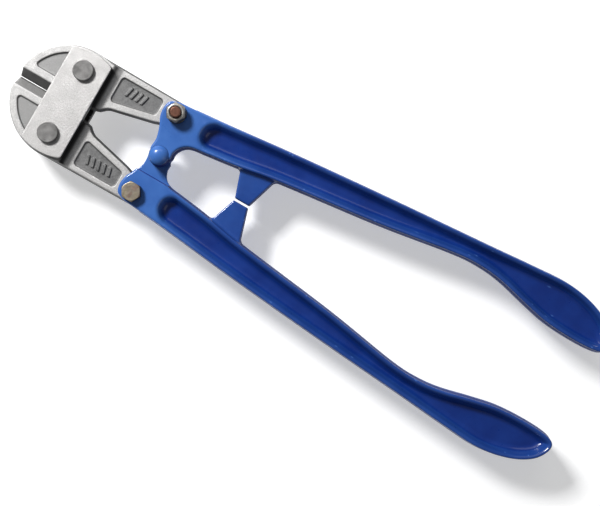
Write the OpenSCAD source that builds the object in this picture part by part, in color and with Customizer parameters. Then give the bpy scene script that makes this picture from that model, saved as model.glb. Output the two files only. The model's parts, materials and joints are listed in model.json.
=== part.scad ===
// Bolt cutters with compound leverage: two jaws pivot between two riveted
// side plates, and each jaw's tail is bolted into the forked ear of a handle.
// The handles are joined by a rivet through their half-lapped centre lugs.
// +X runs towards the grips, +Y towards the upper handle, +Z to the front.

/* [Overall] */
// Length from the nose of the jaws to the ends of the grips
overall_length = 355; // [300:1:430]
// Width over the grips with the jaws closed
overall_width = 104; // [96:0.1:125]
// Width of the gap between the cutting edges when closed
edge_gap = 0.1; // [0.05:0.05:0.3]

/* [Head] */
// Distance from the jaw pivots to the nose
nose_reach = 31; // [28:1:38]
// Radius of the round outline of the closed head
head_radius = 32; // [31:0.5:36]
// Distance between the two jaw pivots
jaw_pivot_spacing = 38.7; // [36:0.1:42]
// Thickness of the jaws between the side plates
jaw_thickness = 10; // [9:0.5:14]
// Thickness of the jaw tails inside the handle ears
tail_thickness = 7.2; // [5.5:0.1:8.6]
// Length of the cutting edges
edge_length = 21; // [17:0.5:24]
// Half-width of the flat on the nose of each jaw
nose_flat = 8; // [6:0.5:10]
// Depth of the sunk panels in the faces of the jaws
panel_depth = 0.9; // [0.4:0.1:1.2]
// Radius of the round end of a jaw's tail
tail_radius = 7; // [6.9:0.1:8]

/* [Side plates] */
// Thickness of each side plate
plate_thickness = 4; // [3:0.5:6]
// Radius of the round ends of the side plates
plate_radius = 31; // [28:0.5:31.5]
// Reach of the plates in front of the jaw pivots
plate_front = 12; // [11:0.5:13]
// Reach of the plates behind the jaw pivots
plate_back = 12.7; // [10:0.1:14]

/* [Rivets and bolts] */
// Diameter of the jaw pivot rivets' shanks
pivot_shank_d = 8; // [6:0.1:9.6]
// Diameter of the jaw pivot rivets' heads
pivot_head_d = 11.5; // [11:0.5:14]
// Height of the jaw pivot rivets' heads
pivot_head_h = 2; // [1:0.5:3]
// Diameter of the centre rivet's shank
centre_shank_d = 6; // [5:0.5:7]
// Diameter of the centre rivet's domed heads
centre_head_d = 11; // [9:0.5:11.5]
// Height of the centre rivet's domed heads
centre_head_h = 3; // [2:0.5:4]
// Diameter of the shanks of the jaw bolts
bolt_d = 6; // [5:0.1:7.2]
// Width across the flats of the bolt heads and nuts
hex_flats = 10; // [9:0.5:11]
// Height of the bolt heads
bolt_head_h = 4; // [3:0.5:5]
// Height of the nuts
nut_h = 5; // [4:0.5:6]
// Thickness of the spring washers under the nuts
spring_washer_t = 1.6; // [1:0.1:2]
// Outer diameter of the spring washers
spring_washer_d = 11; // [10:0.5:12]
// Width of the split in the spring washers
spring_washer_split = 0.8; // [0.4:0.1:1.5]
// Length of thread that stands out of the nuts
thread_end = 1.6; // [0.5:0.1:3]

/* [Linkage] */
// Distance from the jaw pivots to the jaw bolts, along the tool
tail_reach = 55.5; // [50:0.5:62]
// Distance between the two jaw bolts
bolt_spacing = 49; // [48:0.1:53]
// Distance from the jaw bolts to the centre rivet, along the tool
centre_setback = 2.7; // [1:0.1:5]
// Angle that each jaw opens
jaw_opening = 8; // [5:0.5:8]

/* [Handles] */
// Thickness of the handles
handle_thickness = 17; // [15:0.5:20]
// Thickness of the web between the handle's two channels
web_thickness = 4.5; // [3:0.5:7]
// Width of the raised rim along the handle's edges
rim_width = 2.8; // [2:0.1:3.5]
// Width of a handle behind its bumper tab
beam_width = 18; // [15:0.5:22]
// Width of a handle at its narrow neck
neck_width = 13.7; // [11:0.1:16]
// Width of the grip at its widest
grip_width = 26.2; // [22:0.1:30]
// Length from the narrow neck to the end of the grip
grip_length = 86; // [75:1:100]
// Radius of the centre lugs
lug_radius = 6.1; // [6:0.1:7.5]
// Width of the bumper tabs at their tips
tab_tip_width = 9; // [6:0.5:12]
// Width of the bumper tabs where they join the handles
tab_root_width = 20.5; // [16:0.5:26]
// Distance from the centre rivet to the middle of the tabs
tab_place = 51.6; // [46:0.1:60]
// Thickness of the bumper tabs
tab_thickness = 9; // [6:0.5:12]
// Gap between the tips of the tabs when closed
tab_gap = 1.2; // [0.4:0.1:3]

/* [Clearances] */
// Radial clearance of the shanks that turn in their holes
running = 0.05; // [0.02:0.01:0.1]
// Gap between faces that slide past each other
face_gap = 0.1; // [0.05:0.01:0.2]
// Room left around a jaw's tail inside the handle's fork
fork_room = 0.6; // [0.4:0.1:1]

/* [Hidden] */

$fn = 64;
outline_fn = 48;
plate_fn = 128;
dome_fn = 96;
curve_steps = 3;
head_arc_steps = 14;
tail_arc_steps = 20;
reach_past = 1;
steel = "silver";
forged = "lightgray";
turned = "gray";
enamel = "royalblue";
zinc = "khaki";

// Stack along Z, measured from the middle plane of the tool
half_jaw = jaw_thickness / 2;
half_tail = tail_thickness / 2;
half_handle = handle_thickness / 2;
plate_inner = half_jaw + face_gap;
plate_outer = plate_inner + plate_thickness;
nut_face = half_handle + spring_washer_t;
bolt_tip = nut_face + nut_h + thread_end;
mid_z = max(bolt_tip, plate_outer + pivot_head_h);

// Places along X
jaw_pivot_x = nose_reach - overall_length / 2;
bolt_x = jaw_pivot_x + tail_reach;
centre_x = bolt_x + centre_setback;
handle_reach = overall_length / 2 - centre_x;

// Places across the tool
pivot_y = jaw_pivot_spacing / 2;
bolt_y = bolt_spacing / 2;

// Toggle linkage: how far a handle turns while its jaw opens
link_length = norm([centre_setback, bolt_y]);
link_rest = atan(centre_setback / bolt_y);
bolt_drop = bolt_y - pivot_y;
open_bolt_y = pivot_y + bolt_drop * cos(jaw_opening) - tail_reach * sin(jaw_opening);
handle_opening = acos(open_bolt_y / link_length) - link_rest;

// The jaws and handles turn at a fixed ratio, so the lower bolt drifts in
// the lower tail by twice the centre rivet's distance from the centre line
function upper_bolt_y(t) = pivot_y + bolt_drop * cos(t * jaw_opening)
                           - tail_reach * sin(t * jaw_opening);
function centre_drift(t) = link_length * cos(link_rest + t * handle_opening) - upper_bolt_y(t);
drift = 2 * max([for (t = [0:0.05:1]) centre_drift(t)]);
drift_hole_r = bolt_d / 2 + drift / 2 + 2 * running;

// Rolling lobe that keeps the two jaws in step, on the jaws' pitch circles
lobe_r = 2.6;
lobe_angle = jaw_opening / 2;
lobe_place = [pivot_y * sin(lobe_angle), pivot_y * (1 - cos(lobe_angle))];
lobe_room = 0.25;

// Places on a jaw, from its pivot line backwards
throat_gap = 1.5;
throat = 4;
knee = [46, bolt_y - 10.8];
knuckle = [[21.8, 7.8], [19.8, 6.7], [17.2, 4.4], [14, 3.5]];
step_start = 13.5;
step_end = 18.5;
nose_panel = [[-26.2, 10.3], [-13.4, 24.4], [-8.5, 20], [-8.5, 10.3]];
nose_panel_corner = 1.4;
tail_panel = [[19.3, 12.4], [44.9, 18.2], [44.9, 27.6], [19.3, 27.6]];
tail_panel_corner = 2;

// Places on a handle, from the centre rivet outwards
ear_bolt = [-centre_setback, bolt_y];
ear_front = 8.5;
ear_top = 6.8;
lap_step = 12;
lap_front = 4;
lap_back = 6;
channel_start = 13.8;
channel_end_r = 7.6;
grip_top = overall_width / 2;
neck_x = handle_reach - grip_length;
neck_top = grip_top - 3.7;
beam_x = 65;
beam_top = bolt_y + 14;
crown_x = handle_reach - 36;
fork_mouth = [[-30, bolt_y - 18], [-centre_setback - 2, bolt_y - 9.9],
              [-centre_setback, bolt_y + ear_front + 6], [-30, bolt_y + 30]];

function arc(r, from, to, steps) =
    [for (i = [0:steps]) r * [cos(from + (to - from) * i / steps), sin(from + (to - from) * i / steps)]];

function curve_point(a, b, c, d, t) =
    0.5 * (2 * b + (c - a) * t + (2 * a - 5 * b + 4 * c - d) * t * t
           + (3 * b - a - 3 * c + d) * t * t * t);

// Smooth closed curve through a ring of points
function closed_curve(p, steps) =
    let (n = len(p))
    [for (i = [0:n - 1], s = [0:steps - 1])
        curve_point(p[(i + n - 1) % n], p[i], p[(i + 1) % n], p[(i + 2) % n], s / steps)];

// Handle outline: outer edge, grip, inner edge, neck of the lug, ear
handle_outline = [
    [0, bolt_y + ear_top + 0.5],
    [26, bolt_y + 9.8],
    [beam_x, beam_top],
    [(beam_x + neck_x) / 2, (beam_top + neck_top) / 2 + 0.3],
    [neck_x, neck_top],
    [neck_x + 27, grip_top - 1.4],
    [crown_x, grip_top],
    [handle_reach - 18, grip_top - 3.6],
    [handle_reach - 5.5, grip_top - 10.5],
    [handle_reach, grip_top - 19.5],
    [handle_reach - 3, grip_top - 25.2],
    [handle_reach - 16, grip_top - 27],
    [crown_x, grip_top - grip_width],
    [crown_x - 16, grip_top - grip_width + 3.2],
    [neck_x + 17, neck_top - neck_width - 1.5],
    [neck_x + 3, neck_top - neck_width],
    [neck_x - 14, neck_top - neck_width - 1],
    [(beam_x + neck_x) / 2, (beam_top + neck_top - beam_width - neck_width) / 2 - 0.9],
    [beam_x, beam_top - beam_width - 1],
    [40, bolt_y - 9.3],
    [22, bolt_y - 11.7],
    [13.5, bolt_y - 12.9],
    [9.2, bolt_y - 15.6],
    [7.2, bolt_y - 19.5],
    [lug_radius, 0],
    [-lug_radius + 0.5, 0],
    [-6.3, 7.5],
    [-8.4, bolt_y - 10],
    [-10.4, bolt_y - 6],
    [-centre_setback - ear_front, bolt_y - 1],
    [-10.2, bolt_y + 3.6],
    [-7, bolt_y + 5.8]
];

module slab(bottom, top) {
    translate([0, 0, bottom])
        linear_extrude(top - bottom)
            children();
}

module rounded(r) {
    offset(r = r, $fn = outline_fn)
        offset(delta = -r)
            children();
}

// The lower half of the tool is the upper half turned over about X
module turned_over(over) {
    rotate([over ? 180 : 0, 0, 0])
        children();
}

module on_head(over) {
    translate([jaw_pivot_x, 0, mid_z])
        turned_over(over)
            children();
}

module on_centre(over) {
    translate([centre_x, 0, mid_z])
        turned_over(over)
            children();
}

module on_bolt(over) {
    translate([bolt_x, 0, mid_z])
        turned_over(over)
            translate([0, bolt_y, 0])
                children();
}

// ---- Side plates ----

module side_plate() {
    difference() {
        intersection() {
            translate([0, 0, plate_inner])
                cylinder(r = plate_radius, h = plate_thickness, $fn = plate_fn);
            translate([-plate_front, -plate_radius, plate_inner])
                cube([plate_front + plate_back, 2 * plate_radius, plate_thickness]);
        }
        for (y = [-pivot_y, pivot_y])
            translate([0, y, plate_inner - reach_past])
                cylinder(d = pivot_shank_d, h = plate_thickness + 2 * reach_past);
    }
}

module front_side_plate() {
    color(steel)
        on_head(false)
            side_plate();
}

module rear_side_plate() {
    color(steel)
        on_head(true)
            side_plate();
}

// ---- Jaw pivot rivets: a shank with a flat head on each end ----

module pivot_rivet() {
    translate([0, pivot_y, 0]) {
        translate([0, 0, -plate_outer - pivot_head_h])
            cylinder(d = pivot_head_d, h = pivot_head_h);
        translate([0, 0, -plate_outer])
            cylinder(d = pivot_shank_d, h = 2 * plate_outer);
        translate([0, 0, plate_outer])
            cylinder(d = pivot_head_d, h = pivot_head_h);
    }
}

module upper_pivot_rivet() {
    color(turned)
        on_head(false)
            pivot_rivet();
}

module lower_pivot_rivet() {
    color(turned)
        on_head(true)
            pivot_rivet();
}

// ---- Jaws ----

// Direction of the line from p that touches a circle's lower side
function tangent_angle(p, centre, r) =
    atan2(centre[1] - p[1], centre[0] - p[0]) - asin(r / norm(centre - p));

module jaw_outline() {
    flat_angle = 180 - asin(nose_flat / head_radius);
    half_gap = edge_gap / 2;
    tail = [tail_reach, bolt_y];
    polygon(concat(
        [[-nose_reach, half_gap], [-nose_reach, nose_flat]],
        arc(head_radius, flat_angle, 90, head_arc_steps),
        [for (p = arc(tail_radius, 90, tangent_angle(knee, tail, tail_radius) - 90, tail_arc_steps))
            tail + p],
        [knee], knuckle,
        [[throat, throat_gap], [edge_length - nose_reach + 1, throat_gap],
         [edge_length - nose_reach, half_gap]]));
}

// Wedge that bevels the cutting edge on the front or the rear face
module edge_bevel() {
    translate([edge_length - nose_reach, 0, 0])
        rotate([0, -90, 0])
            linear_extrude(edge_length + reach_past)
                polygon([[0, edge_gap / 2], [half_jaw + reach_past, half_jaw + reach_past],
                         [half_jaw + reach_past, -reach_past], [0, -reach_past]]);
}

// Wedge that steps the jaw down to its thinner tail
module tail_step() {
    rotate([90, 0, 0])
        translate([0, 0, -head_radius - reach_past])
            linear_extrude(head_radius + 2 * reach_past)
                polygon([[step_start, half_jaw], [step_start, half_jaw + reach_past],
                         [tail_reach + 2 * tail_radius, half_jaw + reach_past],
                         [tail_reach + 2 * tail_radius, half_tail], [step_end, half_tail]]);
}

module jaw_panels() {
    slab(half_jaw - panel_depth, half_jaw + reach_past)
        rounded(nose_panel_corner)
            polygon(nose_panel);
    slab(half_tail - panel_depth, half_tail + reach_past)
        rounded(tail_panel_corner)
            polygon(tail_panel);
}

module jaw_blank() {
    difference() {
        slab(-half_jaw, half_jaw)
            jaw_outline();
        for (side = [0, 1])
            mirror([0, 0, side]) {
                edge_bevel();
                tail_step();
                jaw_panels();
            }
        translate([0, pivot_y, -half_jaw - reach_past])
            cylinder(d = pivot_shank_d + 2 * running, h = jaw_thickness + 2 * reach_past);
    }
}

module upper_jaw() {
    color(forged)
        on_head(false)
            difference() {
                union() {
                    jaw_blank();
                    translate([lobe_place[0], lobe_place[1], -half_jaw])
                        cylinder(r = lobe_r, h = jaw_thickness);
                }
                translate([tail_reach, bolt_y, -half_jaw])
                    cylinder(d = bolt_d + 2 * running, h = jaw_thickness);
            }
}

module lower_jaw() {
    color(forged)
        on_head(true)
            difference() {
                jaw_blank();
                translate([lobe_place[0], lobe_place[1], -half_jaw - reach_past])
                    cylinder(r = lobe_r + lobe_room, h = jaw_thickness + 2 * reach_past);
                translate([tail_reach, bolt_y + drift / 2, -half_jaw])
                    cylinder(r = drift_hole_r, h = jaw_thickness);
            }
}

// ---- Handles ----

module handle_profile() {
    polygon(closed_curve(handle_outline, curve_steps));
    circle(r = lug_radius, $fn = outline_fn);
}

module channel_profile() {
    intersection() {
        offset(delta = -rim_width)
            polygon(closed_curve(handle_outline, curve_steps));
        union() {
            translate([channel_start + channel_end_r, bolt_y - 1.6])
                circle(r = channel_end_r, $fn = outline_fn);
            translate([channel_start + channel_end_r, 0])
                square([handle_reach, grip_top]);
        }
    }
}

// Room for the jaw's tail between the two cheeks of the ear
module fork_room_profile() {
    translate(ear_bolt)
        circle(r = tail_radius + drift + fork_room, $fn = outline_fn);
    polygon(fork_mouth);
}

module bumper_tab() {
    slab(-tab_thickness / 2, tab_thickness / 2)
        polygon([[tab_place - tab_tip_width / 2, tab_gap / 2],
                 [tab_place + tab_tip_width / 2, tab_gap / 2],
                 [tab_place + tab_root_width / 2, bolt_y - 5],
                 [tab_place - tab_root_width / 2, bolt_y - 7.5]]);
}

module handle_forging() {
    difference() {
        union() {
            slab(-half_handle, half_handle)
                handle_profile();
            bumper_tab();
        }
        // half-lap under the centre lug
        translate([-lug_radius - lap_front, -lug_radius - reach_past, -half_handle - reach_past])
            cube([2 * lug_radius + lap_front + lap_back, lug_radius + reach_past + lap_step,
                  half_handle + reach_past + face_gap / 2]);
        slab(-half_tail - face_gap, half_tail + face_gap)
            fork_room_profile();
        slab(web_thickness / 2, half_handle + reach_past)
            channel_profile();
        slab(-half_handle - reach_past, -web_thickness / 2)
            channel_profile();
        translate([ear_bolt[0], ear_bolt[1], -half_handle - reach_past])
            cylinder(d = bolt_d, h = handle_thickness + 2 * reach_past);
    }
}

module upper_handle() {
    color(enamel)
        on_centre(false)
            difference() {
                handle_forging();
                translate([0, 0, -half_handle])
                    cylinder(d = centre_shank_d, h = 2 * handle_thickness);
            }
}

module lower_handle() {
    color(enamel)
        on_centre(true)
            difference() {
                handle_forging();
                translate([0, 0, -half_handle])
                    cylinder(d = centre_shank_d + 2 * running, h = 2 * handle_thickness);
            }
}

// ---- Centre rivet: fast in the upper handle, turns in the lower one ----

module domed_head() {
    dome_r = (pow(centre_head_d / 2, 2) + pow(centre_head_h, 2)) / (2 * centre_head_h);
    intersection() {
        translate([0, 0, centre_head_h - dome_r])
            sphere(r = dome_r, $fn = dome_fn);
        cylinder(r = dome_r, h = centre_head_h + reach_past);
    }
}

module centre_rivet() {
    color(enamel)
        on_centre(false) {
            translate([0, 0, half_handle])
                domed_head();
            translate([0, 0, -half_handle - face_gap])
                cylinder(d = centre_shank_d, h = handle_thickness + face_gap);
            translate([0, 0, -half_handle - face_gap])
                rotate([180, 0, 0])
                    domed_head();
        }
}

// ---- Jaw bolts, nuts and spring washers, with the nut to the front ----

module hex_prism(h) {
    cylinder(d = hex_flats / cos(30), h = h, $fn = 6);
}

module jaw_bolt() {
    translate([0, 0, -half_handle - bolt_head_h])
        hex_prism(bolt_head_h);
    translate([0, 0, -half_handle])
        cylinder(d = bolt_d, h = half_handle + bolt_tip);
}

module bolt_nut() {
    translate([0, 0, nut_face])
        difference() {
            hex_prism(nut_h);
            translate([0, 0, -reach_past])
                cylinder(d = bolt_d, h = nut_h + 2 * reach_past);
        }
}

module spring_washer() {
    translate([0, 0, half_handle])
        difference() {
            cylinder(d = spring_washer_d, h = spring_washer_t);
            translate([0, 0, -reach_past])
                cylinder(d = bolt_d + 2 * running, h = spring_washer_t + 2 * reach_past);
            translate([0, -spring_washer_split / 2, -reach_past])
                cube([spring_washer_d, spring_washer_split, spring_washer_t + 2 * reach_past]);
        }
}

module upper_jaw_bolt() {
    color(zinc)
        on_bolt(false)
            jaw_bolt();
}

module lower_jaw_bolt() {
    color(zinc)
        on_bolt(true)
            jaw_bolt();
}

module upper_bolt_nut() {
    color(zinc)
        on_bolt(false)
            bolt_nut();
}

module lower_bolt_nut() {
    color(zinc)
        on_bolt(true)
            bolt_nut();
}

module upper_spring_washer() {
    color(steel)
        on_bolt(false)
            spring_washer();
}

module lower_spring_washer() {
    color(steel)
        on_bolt(true)
            spring_washer();
}

front_side_plate();
rear_side_plate();
upper_pivot_rivet();
lower_pivot_rivet();
upper_jaw();
lower_jaw();
upper_handle();
lower_handle();
centre_rivet();
upper_jaw_bolt();
lower_jaw_bolt();
upper_bolt_nut();
lower_bolt_nut();
upper_spring_washer();
lower_spring_washer();
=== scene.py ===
import json
import math

import bpy
import numpy as np
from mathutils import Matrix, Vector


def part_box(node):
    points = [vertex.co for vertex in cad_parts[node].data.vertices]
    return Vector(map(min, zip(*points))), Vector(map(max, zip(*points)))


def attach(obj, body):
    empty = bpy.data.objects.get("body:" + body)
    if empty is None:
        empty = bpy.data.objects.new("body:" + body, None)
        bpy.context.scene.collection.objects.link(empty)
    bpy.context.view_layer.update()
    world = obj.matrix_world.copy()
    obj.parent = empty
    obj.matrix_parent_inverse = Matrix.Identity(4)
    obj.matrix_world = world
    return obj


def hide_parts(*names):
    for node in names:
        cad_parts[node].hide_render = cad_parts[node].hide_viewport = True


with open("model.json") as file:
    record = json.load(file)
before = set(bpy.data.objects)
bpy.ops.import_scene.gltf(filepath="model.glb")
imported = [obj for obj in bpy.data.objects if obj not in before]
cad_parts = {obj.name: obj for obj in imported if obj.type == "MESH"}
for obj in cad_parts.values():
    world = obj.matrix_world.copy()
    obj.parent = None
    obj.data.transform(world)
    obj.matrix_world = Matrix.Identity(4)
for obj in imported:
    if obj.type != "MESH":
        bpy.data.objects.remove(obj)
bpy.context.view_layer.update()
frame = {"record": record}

import openvdb
from mathutils import Vector

# Bolt cutters: forged jaws and enamelled handles, turned rivets, threaded bolts.
# Shapes are worked out in millimetres and stored in metres.

MM = 0.001

# ---------------------------------------------------------------- places

JOINTS = {joint["name"]: np.array(joint["pos_m"]) / MM
          for joint in frame["record"]["behaviour"]["joints"]}


def box_mm(node):
    low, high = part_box(node)
    return np.array(low) / MM, np.array(high) / MM


CENTRE = JOINTS["handles_open"]
HEAD = np.array([JOINTS["upper_jaw_swing"][0], 0.0, CENTRE[2]])
PIVOT_Y = JOINTS["upper_jaw_swing"][1]
BOLT_X = JOINTS["upper_handle_swing"][0]
BOLT_Y = JOINTS["upper_handle_swing"][1]
HANDLE_LOW, HANDLE_HIGH = box_mm("upper_handle")
HALF_HANDLE = (HANDLE_HIGH[2] - HANDLE_LOW[2]) / 2
GRIP_TOP = HANDLE_HIGH[1]
REACH = HANDLE_HIGH[0] - CENTRE[0]
JAW_LOW, JAW_HIGH = box_mm("upper_jaw")
HALF_JAW = (JAW_HIGH[2] - JAW_LOW[2]) / 2
NOSE = HEAD[0] - JAW_LOW[0]
HEAD_R = JAW_HIGH[1]
PLATE_LOW, PLATE_HIGH = box_mm("front_side_plate")
PLATE_IN = PLATE_LOW[2] - CENTRE[2]
PLATE_OUT = PLATE_HIGH[2] - CENTRE[2]
PLATE_R = PLATE_HIGH[1]
PLATE_FRONT = HEAD[0] - PLATE_LOW[0]
PLATE_BACK = PLATE_HIGH[0] - HEAD[0]

TAIL_REACH = BOLT_X - HEAD[0]
SETBACK = CENTRE[0] - BOLT_X
# sizes that the solids have and that no box shows
HALF_TAIL = 3.6
TAIL_R = 7.0
SHANK_R = 3.0          # the bolts' and the centre rivet's
PIVOT_SHANK_R = 4.0
FACE_GAP = 0.1
RUNNING = 0.05
LUG_R = 6.1
HALF_WEB = 2.25
EDGE_LENGTH = 21.0
DRIFT = 2.78           # how far the lower jaw's bolt strays over the travel
LOBE_R = 2.6
LOBE_ANGLE = math.radians(4.0)
BOLT_HEAD = 4.0
WASHER_THICK = 1.6

# masks that the materials read from the meshes
SUNK_FLOOR_AND_SHADE_MASK = "sunk"
PAINTED_SHADE_MASK = "painted_shade"
BARE_MASK = "bare"


# ---------------------------------------------------------------- fields

class Grid:
    """A box of sample points. A field holds the millimetres from each of them to a
    surface, negative inside."""

    def __init__(self, low, high, step):
        margin = 3 * step
        self.step = step
        self.low = np.array(low, float) - margin
        counts = np.ceil((np.array(high, float) + margin - self.low) / step).astype(int) + 1
        axes = [self.low[k] + step * np.arange(counts[k]) for k in range(3)]
        self.x = axes[0].astype(np.float32)[:, None, None]
        self.y = axes[1].astype(np.float32)[None, :, None]
        self.z = axes[2].astype(np.float32)[None, None, :]


def meet(a, b, r=0.0):
    """What lies in both, its edge rounded to radius r."""
    if r <= 0:
        return np.maximum(a, b)
    corner = np.hypot(np.maximum(a + r, 0), np.maximum(b + r, 0))
    return np.minimum(np.maximum(a, b), -r) + corner


def join(a, b, r=0.0):
    """What lies in either, the corner between them filled to radius r."""
    if r <= 0:
        return np.minimum(a, b)
    corner = np.hypot(np.maximum(r - a, 0), np.maximum(r - b, 0))
    return np.maximum(np.minimum(a, b), r) - corner


def cut(a, b, r=0.0):
    """a without b, its edge rounded to radius r."""
    return meet(a, -b, r)


def disc(g, x, y, r):
    return np.hypot(g.x - x, g.y - y) - r


def slab(g, low, high):
    middle = (low + high) / 2
    return np.abs(g.z - middle) - (high - low) / 2


def polygon(g, points):
    """Signed distance in plan to a closed outline."""
    px = g.x[:, :, 0]
    py = g.y[:, :, 0]
    nearest = np.full((px.shape[0], py.shape[1]), 1e9, np.float32)
    inside = np.zeros(nearest.shape, bool)
    pts = np.array(points, np.float32)
    for a, b in zip(pts, np.roll(pts, -1, axis=0)):
        edge = b - a
        length_squared = float(edge @ edge)
        if length_squared < 1e-9:
            continue
        t = np.clip(((px - a[0]) * edge[0] + (py - a[1]) * edge[1]) / length_squared, 0, 1)
        gap_squared = (px - a[0] - t * edge[0]) ** 2 + (py - a[1] - t * edge[1]) ** 2
        np.minimum(nearest, gap_squared, out=nearest)
        if a[1] != b[1]:
            crosses = (a[1] <= py) != (b[1] <= py)
            at = a[0] + (py - a[1]) / (b[1] - a[1]) * edge[0]
            inside ^= crosses & (px < at)
    return np.where(inside, -np.sqrt(nearest), np.sqrt(nearest))[:, :, None]


def smooth_step(a, b, x):
    t = np.clip((x - a) / (b - a), 0, 1)
    return t * t * (3 - 2 * t)


def arc(x, y, r, start, end, steps):
    turn = np.radians(np.linspace(start, end, steps + 1))
    return [(x + r * math.cos(t), y + r * math.sin(t)) for t in turn]


def closed_curve(points, steps):
    """A smooth closed curve through a ring of points (Catmull-Rom)."""
    p = np.array(points, float)
    before, after, second = (np.roll(p, shift, axis=0) for shift in (1, -1, -2))
    out = []
    for a, b, c, d in zip(before, p, after, second):
        for t in np.arange(steps) / steps:
            out.append(0.5 * (2 * b + (c - a) * t + (2 * a - 5 * b + 4 * c - d) * t ** 2
                              + (3 * b - a - 3 * c + d) * t ** 3))
    return out


def mesh_object(name, points, faces):
    mesh = bpy.data.meshes.new(name)
    mesh.from_pydata([tuple(p) for p in points], [], [tuple(f) for f in faces])
    mesh.validate()
    mesh.shade_smooth()
    piece = bpy.data.objects.new(name, mesh)
    bpy.context.scene.collection.objects.link(piece)
    return piece


def surface(name, g, field, place, turned, keep):
    """The field's zero surface as a piece. place is where the grid's origin stands,
    turned lays the shape over about X, and keep is the share of faces kept."""
    reach = 3 * g.step
    grid = openvdb.FloatGrid(reach)
    grid.copyFromArray(np.ascontiguousarray(np.clip(field, -reach, reach).astype(np.float32)))
    points, quads = grid.convertToQuads(0.0)
    points = points.astype(float) * g.step + g.low
    if turned:
        points = points * [1, -1, -1]
    points = (points + place) * MM
    # faces that wind the wrong way round enclose a negative volume
    corners = points[quads]
    across = np.cross(corners[:, 2] - corners[:, 0], corners[:, 3] - corners[:, 1])
    volume = np.einsum("ij,ij->i", corners[:, 0] + corners[:, 2], across).sum()
    if volume < 0:
        quads = quads[:, ::-1]
    piece = mesh_object(name, points, quads)
    thin = piece.modifiers.new("thin", "DECIMATE")
    thin.ratio = keep
    bake_modifiers(piece)
    piece.data.shade_smooth()
    return piece


def bake_modifiers(piece):
    """Applies the piece's modifiers to its mesh."""
    depsgraph = bpy.context.evaluated_depsgraph_get()
    made = bpy.data.meshes.new_from_object(piece.evaluated_get(depsgraph))
    piece.modifiers.clear()
    piece.data = made


def local_points(piece, place, turned):
    """The piece's vertices in the millimetres of its own grid."""
    at = np.empty(len(piece.data.vertices) * 3, np.float32)
    piece.data.vertices.foreach_get("co", at)
    at = at.reshape(-1, 3) / MM - place
    return at * [1, -1, -1] if turned else at


def look_up(g, plan, at):
    """The value of a plan distance at each point."""
    cell = np.rint((at[:, :2] - g.low[:2]) / g.step).astype(int)
    column = np.clip(cell[:, 0], 0, g.x.shape[0] - 1)
    row = np.clip(cell[:, 1], 0, g.y.shape[1] - 1)
    return plan[column, row, 0]


def store(piece, name, values):
    """Keeps one number for each vertex, for a material to read."""
    mask = piece.data.attributes.new(name, "FLOAT", "POINT")
    mask.data.foreach_set("value", np.asarray(values, np.float32))


def ready(piece, body, node, material):
    """Gives a piece its material and evened normals, and puts it in its node's place."""
    piece.data.materials.clear()
    piece.data.materials.append(material)
    normals = piece.modifiers.new("normals", "WEIGHTED_NORMAL")
    normals.weight = 60
    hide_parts(node)
    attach(piece, body)


# ---------------------------------------------------------------- materials

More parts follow.
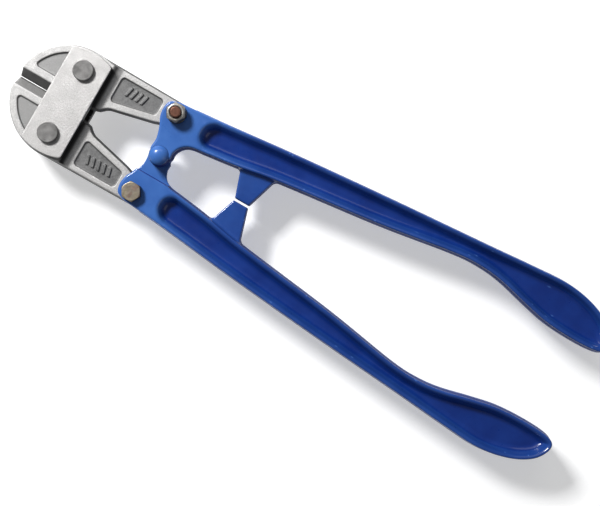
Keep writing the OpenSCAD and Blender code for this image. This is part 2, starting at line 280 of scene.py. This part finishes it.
class Nodes:
    """Short calls for building a node material."""

    def __init__(self, name):
        self.material = bpy.data.materials.new(name)
        self.material.use_nodes = True
        self.tree = self.material.node_tree
        self.shader = self.tree.nodes["Principled BSDF"]
        self.place = self.add("ShaderNodeTexCoord").outputs["Object"]

    def add(self, kind, **settings):
        node = self.tree.nodes.new(kind)
        for key, value in settings.items():
            setattr(node, key, value)
        return node

    def link(self, source, target):
        self.tree.links.new(source, target)

    def noise(self, scale, detail=3.0, roughness=0.55):
        node = self.add("ShaderNodeTexNoise")
        node.inputs["Scale"].default_value = scale
        node.inputs["Detail"].default_value = detail
        node.inputs["Roughness"].default_value = roughness
        self.link(self.place, node.inputs["Vector"])
        return node.outputs["Fac"]

    def spread(self, source, low, high, to_low=0.0, to_high=1.0):
        node = self.add("ShaderNodeMapRange")
        for key, value in (("From Min", low), ("From Max", high),
                           ("To Min", to_low), ("To Max", to_high)):
            node.inputs[key].default_value = value
        self.link(source, node.inputs["Value"])
        return node.outputs["Result"]

    def mix(self, share, a, b):
        """Colour between a and b. Each is a colour or a socket."""
        colour_a, colour_b, colour_out = 6, 7, 2
        node = self.add("ShaderNodeMix", data_type="RGBA")
        self.link(share, node.inputs["Factor"])
        for socket, value in ((node.inputs[colour_a], a), (node.inputs[colour_b], b)):
            if isinstance(value, tuple):
                socket.default_value = (*value, 1)
            else:
                self.link(value, socket)
        return node.outputs[colour_out]

    def ramp(self, source, stops):
        node = self.add("ShaderNodeValToRGB")
        points = node.color_ramp.elements
        while len(points) < len(stops):
            points.new(0.5)
        for point, (at, colour) in zip(points, stops):
            point.position = at
            point.color = (*colour, 1)
        self.link(source, node.inputs["Fac"])
        return node.outputs["Color"]

    def worn_edges(self, low, high):
        """Rises from 0 to 1 where the surface is sharply convex."""
        return self.spread(self.add("ShaderNodeNewGeometry").outputs["Pointiness"], low, high)

    def walls(self, low, high):
        """Rises from 0 on faces that lie flat to 1 on upright ones."""
        parts = self.add("ShaderNodeSeparateXYZ")
        self.link(self.add("ShaderNodeNewGeometry").outputs["Normal"], parts.inputs["Vector"])
        flat = self.add("ShaderNodeMath", operation="ABSOLUTE")
        self.link(parts.outputs["Z"], flat.inputs[0])
        return self.spread(flat.outputs["Value"], low, high)

    def larger(self, a, b):
        """The larger of two values at each point."""
        node = self.add("ShaderNodeMath", operation="MAXIMUM")
        self.link(a, node.inputs[0])
        self.link(b, node.inputs[1])
        return node.outputs["Value"]

    def mask(self, name):
        """A number that the mesh keeps at its vertices."""
        return self.add("ShaderNodeAttribute", attribute_name=name).outputs["Fac"]

    def bump(self, source, strength, distance, under=None):
        """Relief on the surface, on top of the relief under it."""
        node = self.add("ShaderNodeBump")
        node.inputs["Strength"].default_value = strength
        node.inputs["Distance"].default_value = distance
        self.link(source, node.inputs["Height"])
        if under:
            self.link(under, node.inputs["Normal"])
        self.link(node.outputs["Normal"], self.shader.inputs["Normal"])
        return node.outputs["Normal"]

    def set(self, **values):
        for key, value in values.items():
            self.shader.inputs[key.replace("_", " ")].default_value = value


def scaled(colour, share):
    return tuple(share * c for c in colour)


def enamel():
    """Glossy blue enamel, thin on the edges and matt on the upright walls. Painted shade: a deeper
    blue in the channels and along the beam, darker in the corners and dark on the upright walls."""
    face = ((0.032, 0.108, 0.370), (0.045, 0.140, 0.430))
    # sunk, in_corners and on_walls are colours of painted shade
    sunk = ((0.003, 0.022, 0.165), (0.005, 0.032, 0.210))
    on_edges = (0.060, 0.150, 0.450)
    in_corners = (0.008, 0.020, 0.120)
    on_walls = (0.011, 0.030, 0.160)
    m = Nodes("blue_enamel")
    cloud = m.noise(60, 4)
    tint = m.mix(m.spread(cloud, 0.35, 0.65), *face)
    # painted shade: a deeper blue where the sunk mask marks the handle's channel floor, beam and
    # half-lap seam
    painted_shade_blue = m.mix(m.spread(cloud, 0.35, 0.65), *sunk)
    toned = m.mix(m.mask(SUNK_FLOOR_AND_SHADE_MASK), tint, painted_shade_blue)
    thin = m.mix(m.worn_edges(0.55, 0.68), toned, on_edges)
    # painted shade in the concave corners
    corner_shade = m.mix(m.worn_edges(0.45, 0.36), thin, in_corners)
    # painted shade: dark blue on the upright walls
    upright = m.walls(0.35, 0.12)
    m.link(m.mix(upright, corner_shade, on_walls), m.shader.inputs["Base Color"])
    gloss = m.spread(m.noise(220, 3), 0.3, 0.7, 0.26, 0.40)
    m.link(m.larger(gloss, m.spread(upright, 0, 1, 0, 0.85)), m.shader.inputs["Roughness"])
    m.link(m.spread(upright, 0, 1, 0.6, 0.03), m.shader.inputs["Coat Weight"])
    m.set(Coat_Roughness=0.11, Specular_IOR_Level=0.22)
    peel = m.bump(m.noise(700, 2), 0.12, 0.0002)
    m.bump(m.noise(110, 2), 0.25, 0.0006, peel)
    return m.material


def forged_steel(name, dark, light, rough, sunk=None):
    """Blasted forged steel, with painted shade: near black on its walls and where the
    painted-shade mask says.
    sunk is the colour of the rough floors that the sunk mask marks."""
    shade_share = 0.10
    m = Nodes(name)
    grain = m.noise(2600, 2, 0.7)
    blotch = m.noise(180, 4)
    base = m.mix(m.spread(grain, 0.38, 0.62), dark, light)
    if sunk:
        pitted = m.spread(m.noise(1100, 3, 0.7), 0.35, 0.65)
        base = m.mix(m.mask(SUNK_FLOOR_AND_SHADE_MASK), base, m.mix(pitted, scaled(sunk, 0.6), sunk))
    toned = m.mix(m.spread(blotch, 0.35, 0.75, 0.0, 0.35), base, scaled(dark, 0.75))
    # painted shade: near black on the upright walls and where the painted-shade mask marks
    black = m.mix(m.walls(0.8, 0.4), toned, scaled(dark, shade_share))
    black = m.mix(m.mask(PAINTED_SHADE_MASK), black, scaled(dark, shade_share))
    worn = m.mix(m.worn_edges(0.57, 0.70), black, scaled(light, 1.1))
    m.link(worn, m.shader.inputs["Base Color"])
    m.link(m.spread(blotch, 0.3, 0.7, rough - 0.07, rough + 0.07), m.shader.inputs["Roughness"])
    m.set(Metallic=0.55)
    pits = m.bump(grain, 0.6, 0.0002)
    m.bump(m.noise(900, 3), 0.35, 0.0003, pits)
    return m.material


def turned_steel():
    dark = (0.13, 0.127, 0.123)
    light = (0.23, 0.225, 0.22)
    m = Nodes("turned_steel")
    smear = m.noise(300, 4)
    m.link(m.mix(m.spread(smear, 0.3, 0.7), dark, light), m.shader.inputs["Base Color"])
    m.link(m.spread(smear, 0.3, 0.7, 0.36, 0.5), m.shader.inputs["Roughness"])
    m.set(Metallic=0.6)
    m.bump(m.noise(1500, 2), 0.2, 0.0001)
    return m.material


def zinc(name, colours, rough, bare=None):
    """Plated steel in a run of four tints, with painted shade: darker in its corners and on its
    walls.
    bare is the colour of the rusty thread that the bare mask marks."""
    shade_colour = (0.06, 0.045, 0.03)
    m = Nodes(name)
    hue = m.noise(260, 2)
    tone = m.ramp(m.spread(hue, 0.3, 0.7), list(zip((0.0, 0.45, 0.75, 1.0), colours)))
    # painted shade in the concave corners
    corner_shaded = m.mix(m.worn_edges(0.48, 0.40), tone, shade_colour)
    # painted shade on the upright walls
    shaded = m.mix(m.walls(0.92, 0.5), corner_shaded, scaled(colours[0], 0.25))
    if bare:
        shaded = m.mix(m.mask(BARE_MASK), shaded, bare)
    m.link(shaded, m.shader.inputs["Base Color"])
    m.link(m.spread(m.noise(900, 3), 0.3, 0.7, rough - 0.08, rough + 0.1),
           m.shader.inputs["Roughness"])
    m.set(Metallic=0.75)
    m.bump(m.noise(1400, 2), 0.15, 0.0001)
    return m.material


def backdrop():
    """White paper, with a little light of its own so that it stays as white as the photo's."""
    dark = (0.70, 0.70, 0.70)
    light = (0.74, 0.74, 0.74)
    m = Nodes("studio_paper")
    m.link(m.mix(m.spread(m.noise(3, 2), 0.3, 0.7), dark, light), m.shader.inputs["Base Color"])
    m.set(Roughness=0.9, Emission_Color=(1, 1, 1, 1), Emission_Strength=0.42)
    return m.material


ENAMEL = enamel()
JAW_STEEL = forged_steel("jaw_steel", dark=(0.36, 0.355, 0.35), light=(0.57, 0.56, 0.55),
                         rough=0.50, sunk=(0.15, 0.15, 0.15))
PLATE_STEEL = forged_steel("plate_steel", dark=(0.37, 0.36, 0.355), light=(0.58, 0.57, 0.56),
                           rough=0.46)
RIVET_STEEL = turned_steel()
YELLOW_TINTS = ((0.30, 0.25, 0.17), (0.42, 0.36, 0.26), (0.36, 0.31, 0.25), (0.34, 0.25, 0.20))
PLAIN_TINTS = ((0.42, 0.40, 0.36), (0.60, 0.58, 0.54), (0.55, 0.52, 0.47), (0.45, 0.40, 0.34))
YELLOW_ZINC = zinc("yellow_zinc", YELLOW_TINTS, rough=0.36, bare=(0.21, 0.095, 0.065))
PLAIN_ZINC = zinc("plain_zinc", PLAIN_TINTS, rough=0.32)
SPRING_STEEL = forged_steel("spring_steel", dark=(0.10, 0.10, 0.10), light=(0.20, 0.20, 0.20),
                            rough=0.45)


# ---------------------------------------------------------------- handles

def handle_outline():
    """The handle in plan, from the centre rivet."""
    neck_x = REACH - 86
    neck_top = GRIP_TOP - 3.7
    beam_x = 65
    beam_top = BOLT_Y + 14
    crown_x = REACH - 36
    half_x = (beam_x + neck_x) / 2
    outer_edge = [
        (0, BOLT_Y + 7.3), (26, BOLT_Y + 9.8), (beam_x, beam_top),
        (half_x, (beam_top + neck_top) / 2 + 0.3), (neck_x, neck_top),
        (neck_x + 27, GRIP_TOP - 1.4)]
    grip = [
        (crown_x, GRIP_TOP - 0.12), (REACH - 18, GRIP_TOP - 3.6), (REACH - 5.5, GRIP_TOP - 10.5),
        (REACH - 0.16, GRIP_TOP - 19.5), (REACH - 3, GRIP_TOP - 25.2), (REACH - 16, GRIP_TOP - 27),
        (crown_x, GRIP_TOP - 26.2), (crown_x - 16, GRIP_TOP - 23.0)]
    inner_edge = [
        (neck_x + 17, neck_top - 15.2), (neck_x + 3, neck_top - 13.7),
        (neck_x - 14, neck_top - 14.7),
        (half_x, (beam_top + neck_top - 31.7) / 2 - 0.9), (beam_x, beam_top - 19),
        (40, BOLT_Y - 9.3), (22, BOLT_Y - 11.7)]
    lug = [
        (13.5, BOLT_Y - 12.9), (9.2, BOLT_Y - 15.6), (7.2, BOLT_Y - 19.5), (LUG_R, 0),
        (-LUG_R + 0.5, 0), (-6.3, 7.5)]
    ear = [
        (-8.4, BOLT_Y - 10), (-10.4, BOLT_Y - 6), (-SETBACK - 8.5, BOLT_Y - 1),
        (-10.2, BOLT_Y + 3.6), (-7, BOLT_Y + 5.8)]
    return closed_curve(outer_edge + grip + inner_edge + lug + ear, 6)


def handle(name, body, node, turned):
    rim = 5.3
    channel_start = 16.2
    channel_slope = 0.4
    parting_inset = 0.2
    half_parting = 0.55
    half_tab = 4.5
    lap_line = 12
    lap_past_lug = 6
    cut_edge = 0.35
    g = Grid((-12, -7, -HALF_HANDLE), (REACH, GRIP_TOP, HALF_HANDLE), 0.42)
    edge = polygon(g, handle_outline())
    plan = join(edge, disc(g, 0, 0, LUG_R))
    up = np.abs(g.z)
    # drafted walls that meet in a narrow parting line
    draft = 0.02 + 0.06 * smooth_step(-6, 4, g.x)
    wall = meet(plan + parting_inset + draft * up, up - HALF_HANDLE, 1.2)
    parting = meet(plan, up - half_parting, 0.2)
    solid = join(wall, parting, 0.3)
    tab_plan = polygon(g, [(47.1, 0.6), (56.1, 0.6), (61.9, BOLT_Y - 5), (41.4, BOLT_Y - 7.5)])
    solid = join(solid, meet(tab_plan + 0.03 * up, up - half_tab, 0.9), 2.0)
    # the channel: a rim, a cove and a flat web
    channel_plan = meet(edge + rim, channel_start - g.x + 0 * g.y, 5.0)
    channel = meet(channel_plan - channel_slope * (up - HALF_WEB), HALF_WEB - up, 2.6)
    solid = cut(solid, channel, 1.7)
    # half-lap under the lug
    lap = meet(meet(g.y - lap_line, g.x - LUG_R - lap_past_lug), g.z - FACE_GAP / 2)
    solid = cut(solid, lap, cut_edge)
    # fork for the jaw's tail
    room = disc(g, -SETBACK, BOLT_Y, TAIL_R + DRIFT + 0.6)
    gate = polygon(g, [(-30, BOLT_Y - 18), (-SETBACK - 2, BOLT_Y - 9.9),
                       (-SETBACK, BOLT_Y + 14.5), (-30, BOLT_Y + 30)])
    fork = meet(join(room, gate), up - HALF_TAIL - FACE_GAP)
    solid = cut(solid, fork, cut_edge)
    solid = cut(solid, disc(g, -SETBACK, BOLT_Y, SHANK_R) + 0 * g.z)
    solid = cut(solid, disc(g, 0, 0, SHANK_R) + 0 * g.z)
    piece = surface(name, g, solid, CENTRE, turned, keep=0.42)
    # painted shade: a deeper blue on the channel's floor, along the beam and in the seam of the
    # half-lap
    at = local_points(piece, CENTRE, turned)
    floor = (smooth_step(2.0, 0.0, look_up(g, channel_plan, at))
             * smooth_step(HALF_HANDLE - 0.5, HALF_HANDLE - 2.5, np.abs(at[:, 2])))
    beam = 0.75 * smooth_step(10, 55, at[:, 0])
    seam = (smooth_step(0.5, 0.2, np.abs(at[:, 1] - lap_line))
            * (at[:, 0] < LUG_R + lap_past_lug) * (at[:, 2] < 0))
    store(piece, SUNK_FLOOR_AND_SHADE_MASK, np.maximum.reduce([floor, beam, seam]))
    ready(piece, body, node, ENAMEL)


# ---------------------------------------------------------------- jaws

def jaw_outline():
    """The jaw in plan, from the middle of the head: nose, back, tail, and the inner edge with
    its step. The tail's underside runs from the knee and touches the tail's round end."""
    nose_flat = 8.0
    half_gap = 0.05
    clearance = 1.5
    knee = np.array([46, BOLT_Y - 10.8])
    run = np.array([TAIL_REACH, BOLT_Y]) - knee
    touch = math.degrees(math.atan2(run[1], run[0]) - math.asin(TAIL_R / np.hypot(*run)))
    back_start = 180 - math.degrees(math.asin(nose_flat / HEAD_R))
    step = [(21.8, 8.0), (19.8, 6.9), (17.2, 4.5), (14, 3.6), (4, clearance)]
    return ([(-NOSE, half_gap), (-NOSE, nose_flat)]
            + arc(0, 0, HEAD_R, back_start, 90, 30)
            + arc(TAIL_REACH, BOLT_Y, TAIL_R, 90, touch - 90, 20)
            + [tuple(knee)] + step
            + [(EDGE_LENGTH - NOSE + 1, clearance), (EDGE_LENGTH - NOSE, half_gap)])


def jaw(name, body, node, turned, marks):
    """A jaw. The upper one has the lobe. The lower one, turned, has the hollow for it and the
    bore widened by the drift."""
    edge_end = EDGE_LENGTH - NOSE
    panel_depth = 0.9
    panel_slope = 0.5
    mark_height = 0.65
    lobe_room = 0.25
    g = Grid((-NOSE, -3.0, -HALF_JAW), (TAIL_REACH + TAIL_R, HEAD_R, HALF_JAW), 0.26)
    plan = polygon(g, jaw_outline())
    up = np.abs(g.z)
    # the tail is stepped down, and its walls are drafted more than the head's
    thin = smooth_step(13.2, 18.2, g.x)
    half = HALF_JAW + (HALF_TAIL - HALF_JAW) * thin
    draft = 0.03 + 0.25 * smooth_step(2, 14, g.x)
    solid = meet(plan + draft * up, up - half, 0.5)
    lobe_x = PIVOT_Y * math.sin(LOBE_ANGLE)
    lobe_y = PIVOT_Y * (1 - math.cos(LOBE_ANGLE))
    if turned:
        solid = cut(solid, disc(g, lobe_x, lobe_y, LOBE_R + lobe_room) + 0 * g.z, 0.2)
        bore = disc(g, TAIL_REACH, BOLT_Y + DRIFT / 2, SHANK_R + DRIFT / 2 + 2 * RUNNING)
    else:
        solid = join(solid, meet(disc(g, lobe_x, lobe_y, LOBE_R), up - HALF_JAW, 0.3), 0.2)
        bore = disc(g, TAIL_REACH, BOLT_Y, SHANK_R + RUNNING)
    solid = cut(solid, bore + 0 * g.z)
    solid = cut(solid, disc(g, 0, PIVOT_Y, PIVOT_SHANK_R + RUNNING) + 0 * g.z)
    bevel = meet((g.y - up - 0.05) / math.sqrt(2) + 0 * g.x, g.x - edge_end, 0)
    solid = cut(solid, bevel, 0.12)
    # sunk panels, with the raised marks in the tail panel
    nose_panel = meet(meet(disc(g, 0, 0, HEAD_R - 5.2), 10.0 - g.y, 1.8), g.x + 8.5, 0.8) - 0.5
    nose_floor = HALF_JAW - panel_depth
    tail_panel = polygon(g, [(21.1, 14.8), (42.9, 19.8), (42.9, 25.6), (21.1, 25.6)]) - 1.8
    tail_floor = HALF_TAIL - panel_depth
    for panel, floor in ((nose_panel, nose_floor), (tail_panel, tail_floor)):
        hollow = meet(panel - panel_slope * (up - floor), floor - up, 0.4)
        solid = cut(solid, hollow, 0.2)
    for mark in marks:
        bar = meet(polygon(g, mark) - 0.35, up - (tail_floor + mark_height), 0.3)
        solid = join(solid, bar, 0.25)
    piece = surface(name, g, solid, HEAD, turned, keep=0.5)
    # dark floors in the panels
    at = local_points(piece, HEAD, turned)
    height = np.abs(at[:, 2])
    in_nose, in_tail = (smooth_step(0.3, -0.1, look_up(g, panel, at))
                        * smooth_step(floor + 0.85, floor + 0.7, height)
                        for panel, floor in ((nose_panel, nose_floor), (tail_panel, tail_floor)))
    store(piece, SUNK_FLOOR_AND_SHADE_MASK, np.maximum(0.65 * in_nose, in_tail))
    # painted shade: a painted shadow behind the plate, shade along the cutting edge where the jaws
    # meet and on the bevel, where the photo's upper jaw is much the darker
    bevel_shade = 0.1 if turned else 0.75
    behind_plate = (smooth_step(PLATE_BACK + 3.4, PLATE_BACK + 1.2, at[:, 0])
                    * smooth_step(PLATE_BACK - 1, PLATE_BACK, at[:, 0]))
    on_bevel = (at[:, 0] < edge_end) * (at[:, 1] < height + 0.4) * (height < HALF_JAW - 0.2)
    edge_line = (at[:, 0] < edge_end) * smooth_step(0.9, 0.5, at[:, 1])
    store(piece, PAINTED_SHADE_MASK, np.maximum.reduce([behind_plate, edge_line, bevel_shade * on_bevel]))
    ready(piece, body, node, JAW_STEEL)


def bars(count, x, y, pitch, height):
    """Slanting raised strokes, a plain mark with no meaning."""
    width = 0.8
    lean = 1.2
    out = []
    for k in range(count):
        at = x + k * pitch
        out.append([(at, y), (at + width, y),
                    (at + width + lean, y + height), (at + lean, y + height)])
    return out


# ---------------------------------------------------------------- plates and rivets

def side_plate(name, node, turned):
    g = Grid((-PLATE_FRONT, -PLATE_R, PLATE_IN), (PLATE_BACK, PLATE_R, PLATE_OUT), 0.25)
    across = np.abs(g.x - (PLATE_BACK - PLATE_FRONT) / 2) - (PLATE_BACK + PLATE_FRONT) / 2
    round_end = np.hypot(g.x, g.y) - PLATE_R
    plan = meet(across + 0 * g.y, round_end, 1.2)
    solid = meet(plan, slab(g, PLATE_IN, PLATE_OUT), 0.45)
    for y in (-PIVOT_Y, PIVOT_Y):
        solid = cut(solid, disc(g, 0, y, PIVOT_SHANK_R) + 0 * g.z)
    piece = surface(name, g, solid, HEAD, turned, keep=0.5)
    # painted shade: the inner face, facing the jaws, is painted near black
    height = local_points(piece, HEAD, turned)[:, 2]
    store(piece, PAINTED_SHADE_MASK, smooth_step(PLATE_IN + 0.8, PLATE_IN + 0.2, height))
    ready(piece, "head", node, PLATE_STEEL)


def lathe(name, profile, place, sides=96):
    """A solid of revolution about Z. profile is (radius, height) from pole to pole."""
    rows = np.array(profile[1:-1])
    turn = np.linspace(0, 2 * math.pi, sides, endpoint=False)
    ring = np.stack([np.cos(turn), np.sin(turn)], 1)
    points = [np.array([[0, 0, profile[0][1]]])]
    for r, z in rows:
        points.append(np.column_stack([r * ring, np.full(sides, z)]))
    points.append(np.array([[0, 0, profile[-1][1]]]))
    points = np.concatenate(points)
    last = len(points) - 1
    faces = []
    for k in range(sides):
        after = (k + 1) % sides
        faces.append((0, 1 + after, 1 + k))
        for row in range(len(rows) - 1):
            low = 1 + row * sides
            high = low + sides
            faces.append((low + k, low + after, high + after, high + k))
        top = 1 + (len(rows) - 1) * sides
        faces.append((top + k, top + after, last))
    return mesh_object(name, (points + place) * MM, faces)


def turned_face(r, z):
    """Points along a flat rivet face with faint turning rings, from the centre out."""
    grooves = 5
    per_groove = 6
    grooved_share = 0.86
    depth = 0.035
    out = []
    for k in range(1, grooves * per_groove):
        at = r * grooved_share * k / (grooves * per_groove)
        dip = depth * (1 - math.cos(2 * math.pi * k / per_groove)) / 2
        out.append((at, z - dip))
    return out


def rounded_corner(r, z, size, steps=5):
    out = []
    for k in range(steps + 1):
        a = math.pi / 2 * k / steps
        out.append((r - size + size * math.sin(a), z - size * (1 - math.cos(a))))
    return out


def pivot_rivet(name, node, side):
    low, high = box_mm(node)
    head_r = (high[0] - low[0]) / 2
    top = (high[2] - low[2]) / 2
    chamfer = 0.25
    half = ([(0, top)] + turned_face(head_r, top) + rounded_corner(head_r, top, 0.45)
            + [(head_r, PLATE_OUT + chamfer), (head_r - chamfer, PLATE_OUT),
               (PIVOT_SHANK_R, PLATE_OUT)])
    profile = [(r, -z) for r, z in half] + [(r, z) for r, z in reversed(half)]
    piece = lathe(name, profile, HEAD + [0, side * PIVOT_Y, 0])
    ready(piece, "head", node, RIVET_STEEL)


def centre_rivet():
    low, high = box_mm("centre_rivet")
    head_r = (high[0] - low[0]) / 2
    top = high[2] - CENTRE[2]
    bottom = low[2] - CENTRE[2]
    head_height = 3
    dome = (head_r ** 2 + head_height ** 2) / (2 * head_height)
    angles = np.linspace(0.05, 1, 14) * math.asin(head_r / dome)
    profile = [(0, bottom)]
    profile += [(dome * math.sin(a), bottom + dome * (1 - math.cos(a))) for a in angles]
    profile += [(SHANK_R, bottom + head_height), (SHANK_R, top - head_height)]
    profile += [(dome * math.sin(a), top - dome * (1 - math.cos(a))) for a in angles[::-1]]
    profile += [(0, top)]
    piece = lathe("centre_rivet_painted", profile, CENTRE)
    ready(piece, "upper_handle", "centre_rivet", ENAMEL)


# ---------------------------------------------------------------- bolts, nuts, washers

HEX_HALF = 5.0
HEX_ROOM = 6
THREAD_PITCH = 1.0
THREAD_DEPTH = 0.55
DIAGONAL = 0.7071


def hexagon(g):
    """Distance in plan to a regular hexagon with corners at the ends of the X axis."""
    sides = []
    for k in range(3):
        a = math.radians(30 + 60 * k)
        sides.append(np.abs((g.x * math.cos(a)) + (g.y * math.sin(a))) - HEX_HALF)
    return np.maximum.reduce(sides)


def thread(g, r):
    """Radius of a V thread about Z at each point of the grid."""
    turn = np.arctan2(g.y, g.x) / (2 * math.pi)
    phase = (g.z / THREAD_PITCH - turn) % 1.0
    return r - THREAD_DEPTH * np.abs(2 * phase - 1) ** 0.8


def bolt_place(side):
    return np.array([BOLT_X, side * BOLT_Y, CENTRE[2]])


def jaw_bolt(name, body, node, turned, side):
    """Head down, thread up; the upper bolt stands so, and the lower one is turned over."""
    low, high = box_mm(node)
    tip = high[2] - low[2] - BOLT_HEAD - HALF_HANDLE
    head_low = -HALF_HANDLE - BOLT_HEAD
    face_r = 5.05
    tip_r = 2.55
    thread_start = HALF_HANDLE - 4
    g = Grid((-HEX_ROOM, -HEX_ROOM, head_low), (HEX_ROOM, HEX_ROOM, tip), 0.14)
    away = np.hypot(g.x, g.y)
    head = meet(hexagon(g), slab(g, head_low, -HALF_HANDLE), 0.12)
    chamfer = ((away - face_r) * math.cos(math.radians(30))
               - (g.z - head_low) * math.sin(math.radians(60)))
    head = meet(head, chamfer, 0.15)
    threaded = np.where(g.z > thread_start, away - thread(g, SHANK_R), away - SHANK_R)
    shank = meet(threaded, slab(g, -HALF_HANDLE - 1, tip), 0.1)
    shank = meet(shank, (away - tip_r + (g.z - tip)) * DIAGONAL, 0.1)
    piece = surface(name, g, join(head, shank, 0.1), bolt_place(side), turned, keep=0.5)
    # rust on the bare thread
    height = local_points(piece, bolt_place(side), turned)[:, 2]
    store(piece, BARE_MASK, smooth_step(thread_start, HALF_HANDLE, height))
    ready(piece, body, node, YELLOW_ZINC)


def bolt_nut(name, body, node, turned, side):
    low, high = box_mm(node)
    bottom = HALF_HANDLE + WASHER_THICK
    top = bottom + (high[2] - low[2])
    face_r = 4.35
    countersink_r = 3.6
    g = Grid((-HEX_ROOM, -HEX_ROOM, bottom), (HEX_ROOM, HEX_ROOM, top), 0.11)
    away = np.hypot(g.x, g.y)
    solid = meet(hexagon(g), slab(g, bottom, top), 0.1)
    for end, way in ((top, 1), (bottom, -1)):
        chamfer = (away - face_r) * DIAGONAL + way * (g.z - end) * DIAGONAL
        countersink = (away - countersink_r) * DIAGONAL + way * (end - g.z) * DIAGONAL
        solid = meet(solid, chamfer, 0.15)
        solid = cut(solid, countersink, 0.1)
    solid = cut(solid, away - SHANK_R + 0 * g.z)
    piece = surface(name, g, solid, bolt_place(side), turned, keep=0.5)
    ready(piece, body, node, PLAIN_ZINC)


def spring_washer(name, body, node, turned, side):
    """A flat ring with a slanting split."""
    middle_r = 4.275
    half_width = 1.225
    half_split = 0.4
    lean = 0.5
    top = HALF_HANDLE + WASHER_THICK
    g = Grid((-HEX_ROOM, -HEX_ROOM, HALF_HANDLE), (HEX_ROOM, HEX_ROOM, top), 0.11)
    ring = np.abs(np.hypot(g.x, g.y) - middle_r) - half_width
    solid = meet(ring + 0 * g.z, slab(g, HALF_HANDLE, top), 0.2)
    split = np.abs(g.y - lean * (g.z - HALF_HANDLE - WASHER_THICK / 2)) - half_split
    solid = cut(solid, meet(split, -g.x + 0 * g.y), 0.1)
    piece = surface(name, g, solid, bolt_place(side), turned, keep=0.5)
    ready(piece, body, node, SPRING_STEEL)


# ---------------------------------------------------------------- studio

# metres, degrees and, for the lens and sensor, millimetres
CAMERA_PLACE = (0.0049, -0.0076, 0.600)
CAMERA_TURN = 30.0
CAMERA_LENS = 63.4
SENSOR = 36.0


def make_camera():
    """Looks straight down on the front face, as the photo does."""
    data = bpy.data.cameras.new("camera")
    data.sensor_width = SENSOR
    data.lens = CAMERA_LENS
    data.clip_start = 0.01
    camera = bpy.data.objects.new("camera", data)
    camera.location = CAMERA_PLACE
    camera.rotation_euler = (0, 0, math.radians(CAMERA_TURN))
    bpy.context.scene.collection.objects.link(camera)
    bpy.context.scene.camera = camera


def softbox(name, place, size, power):
    """A light that faces the middle of the floor."""
    data = bpy.data.lights.new(name, "AREA")
    data.shape = "RECTANGLE"
    data.size, data.size_y = size
    data.energy = power
    lamp = bpy.data.objects.new(name, data)
    lamp.location = place
    lamp.rotation_euler = Vector(place).to_track_quat("Z", "Y").to_euler()
    bpy.context.scene.collection.objects.link(lamp)


def make_studio():
    # the picture's up direction in plan, so that the key comes from its upper left
    turn = math.radians(CAMERA_TURN)
    right = Vector((math.cos(turn), math.sin(turn), 0))
    up = Vector((-math.sin(turn), math.cos(turn), 0))
    softbox("key", -0.62 * right + 0.80 * up + Vector((0, 0, 0.85)), (0.34, 0.26), 24)
    softbox("fill", 1.1 * right - 0.7 * up + Vector((0, 0, 0.8)), (0.9, 0.9), 1.5)
    softbox("side", 0.2 * right + 1.2 * up + Vector((0, 0, 0.9)), (0.9, 0.6), 2)
    world = bpy.data.worlds.new("studio")
    world.use_nodes = True
    sky = world.node_tree.nodes["Background"]
    sky.inputs["Color"].default_value = (0.95, 0.97, 1.0, 1)
    sky.inputs["Strength"].default_value = 0.16
    bpy.context.scene.world = world
    half = 2.0
    corners = [(-half, -half, 0), (half, -half, 0), (half, half, 0), (-half, half, 0)]
    floor = mesh_object("floor", corners, [(0, 1, 2, 3)])
    floor.data.materials.append(backdrop())


bpy.context.scene.view_settings.view_transform = "Standard"
make_camera()
make_studio()
handle("upper_handle_forging", "upper_handle", "upper_handle", False)
handle("lower_handle_forging", "lower_handle", "lower_handle", True)
jaw("upper_jaw_forging", "upper_jaw", "upper_jaw", False, bars(4, 25, 19.5, 3.2, 5.0))
jaw("lower_jaw_forging", "lower_jaw", "lower_jaw", True, bars(5, 24, 19.2, 3.4, 4.6))
side_plate("front_plate_forged", "front_side_plate", False)
side_plate("rear_plate_forged", "rear_side_plate", True)
pivot_rivet("upper_rivet_turned", "upper_pivot_rivet", 1)
pivot_rivet("lower_rivet_turned", "lower_pivot_rivet", -1)
centre_rivet()
jaw_bolt("upper_bolt_threaded", "upper_handle", "upper_jaw_bolt", False, 1)
jaw_bolt("lower_bolt_threaded", "lower_handle", "lower_jaw_bolt", True, -1)
bolt_nut("upper_nut_threaded", "upper_handle", "upper_bolt_nut", False, 1)
bolt_nut("lower_nut_threaded", "lower_handle", "lower_bolt_nut", True, -1)
spring_washer("upper_washer_split", "upper_handle", "upper_spring_washer", False, 1)
spring_washer("lower_washer_split", "lower_handle", "lower_spring_washer", True, -1)
